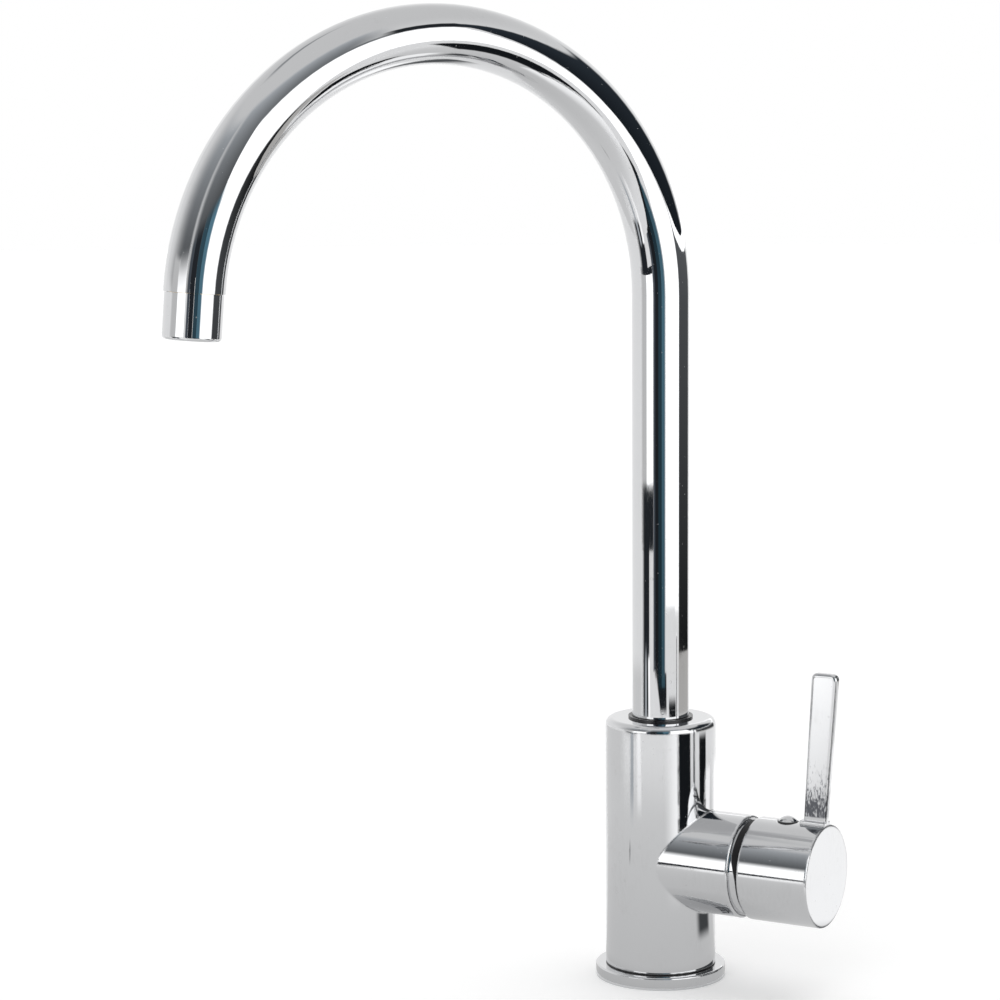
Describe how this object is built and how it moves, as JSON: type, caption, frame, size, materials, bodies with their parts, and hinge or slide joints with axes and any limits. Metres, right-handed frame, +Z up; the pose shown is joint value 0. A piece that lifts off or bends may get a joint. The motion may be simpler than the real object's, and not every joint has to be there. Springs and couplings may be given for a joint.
{
  "type": "three way filtered water tap",
  "caption": "Swan neck kitchen tap on a round column, with a swivelling spout and a lever on a side branch that turns and tilts, and a separate filtered water path.",
  "frame": {"origin": "centre of the column's underside, on the column's axis, which is the middle of the two fixing stud holes", "axes": "+Z up along the column; at rest the spout points along -X, and the branch points 60.7 degrees from +X toward -Y"},
  "size_m": [0.2947, 0.1095, 0.427],
  "materials": {
    "chrome_plate": "polished",
    "brass": "turned",
    "rubber": "matte",
    "dark_plastic": "satin",
    "white_plastic": "moulded",
    "grey_plastic": "moulded",
    "blue_tube": "extruded",
    "ceramic": "lapped",
    "steel": "machined"
  },
  "bodies": {
    "column": {"tap_body": "chrome_plate", "base_flange": "chrome_plate", "base_gasket": "rubber", "core_stub": "brass", "upper_bush": "dark_plastic", "lower_bush": "dark_plastic", "spout_screw": "steel", "port_seals": "rubber", "cartridge_base": "white_plastic", "fixed_disc": "ceramic", "cartridge_housing": "grey_plastic", "cartridge_nut": "brass", "dome_ring": "chrome_plate"},
    "spout": {"spout_tube": "chrome_plate", "spout_spigot": "chrome_plate", "spout_orings": "rubber", "flow_divider": "white_plastic", "divider_oring": "rubber", "filtered_tube": "blue_tube", "outlet_adapter": "brass", "outlet_seal": "rubber", "outlet_sleeve": "chrome_plate", "outlet_insert": "grey_plastic", "aerator_screens": "steel", "filtered_nozzle": "grey_plastic"},
    "guide": {"stem_guide": "white_plastic", "guide_oring": "rubber", "tilt_pin": "steel"},
    "slider": {"moving_disc": "ceramic", "disc_carrier": "white_plastic"},
    "lever": {"lever_stem": "brass", "handle_cap": "chrome_plate", "lever_blade": "chrome_plate", "grub_screw": "steel", "indicator_plug": "chrome_plate"}
  },
  "joints": [
    {"name": "spout_swivel", "type": "hinge", "parent": "column", "child": "spout", "pos_m": [0, 0, 0.1], "axis": [0, 0, 1], "continuous": true},
    {"name": "lever_turn", "type": "hinge", "parent": "column", "child": "guide", "pos_m": [0.02055, -0.03663, 0.0537], "axis": [0.4894, -0.8721, 0], "range_deg": [-45, 90]},
    {"name": "lever_tilt", "type": "hinge", "parent": "guide", "child": "lever", "pos_m": [0.02055, -0.03663, 0.0537], "axis": [0.8721, 0.4894, 0], "range_deg": [0, 11]},
    {"name": "disc_slide", "type": "slide", "parent": "guide", "child": "slider", "axis": [0, 0, 1], "range_m": [0, 0.0026]}
  ],
  "couplings": [
    {"joint": "disc_slide", "follows": "lever_tilt", "m_per_rad": 0.0116}
  ]
}
